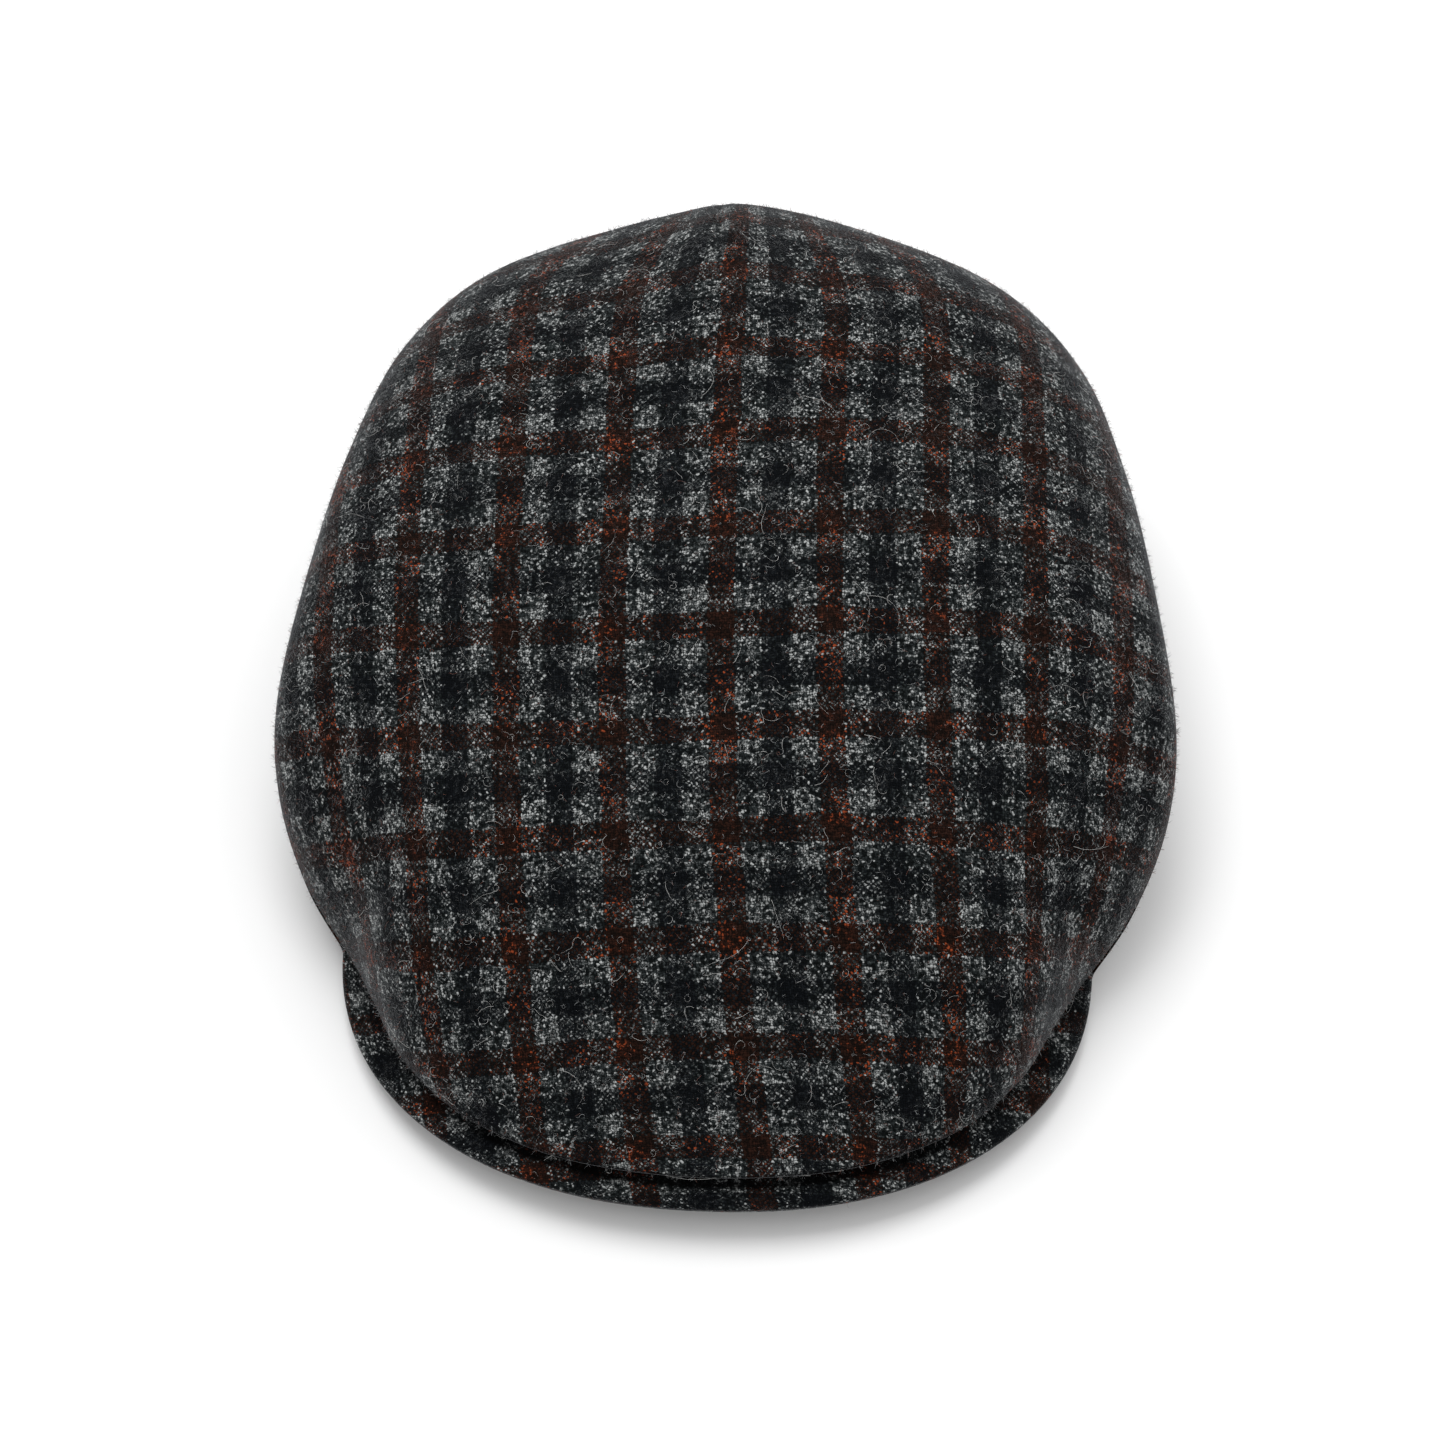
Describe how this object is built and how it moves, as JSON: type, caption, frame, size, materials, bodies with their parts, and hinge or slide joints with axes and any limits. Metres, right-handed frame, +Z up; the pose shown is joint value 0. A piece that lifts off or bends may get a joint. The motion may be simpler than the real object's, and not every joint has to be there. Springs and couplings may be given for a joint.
{
  "type": "flat cap",
  "caption": "Soft tweed flat cap with a one-piece crown drawn down over a short curved stiff peak.",
  "frame": {"origin": "on the surface the cap lies on, under the middle of its length and width", "axes": "+Z up out of the crown, -Y towards the peak, +X to the right of a viewer who faces the peak"},
  "size_m": [0.2264, 0.278, 0.0766],
  "materials": {
    "tweed": "matte brushed wool, checked in grey, navy and rust",
    "band_cloth": "plain matte twill"
  },
  "bodies": {
    "root": {"crown_top": "tweed", "crown_side_right": "tweed", "crown_side_left": "tweed", "peak": "tweed", "sweatband": "band_cloth"}
  },
  "joints": []
}
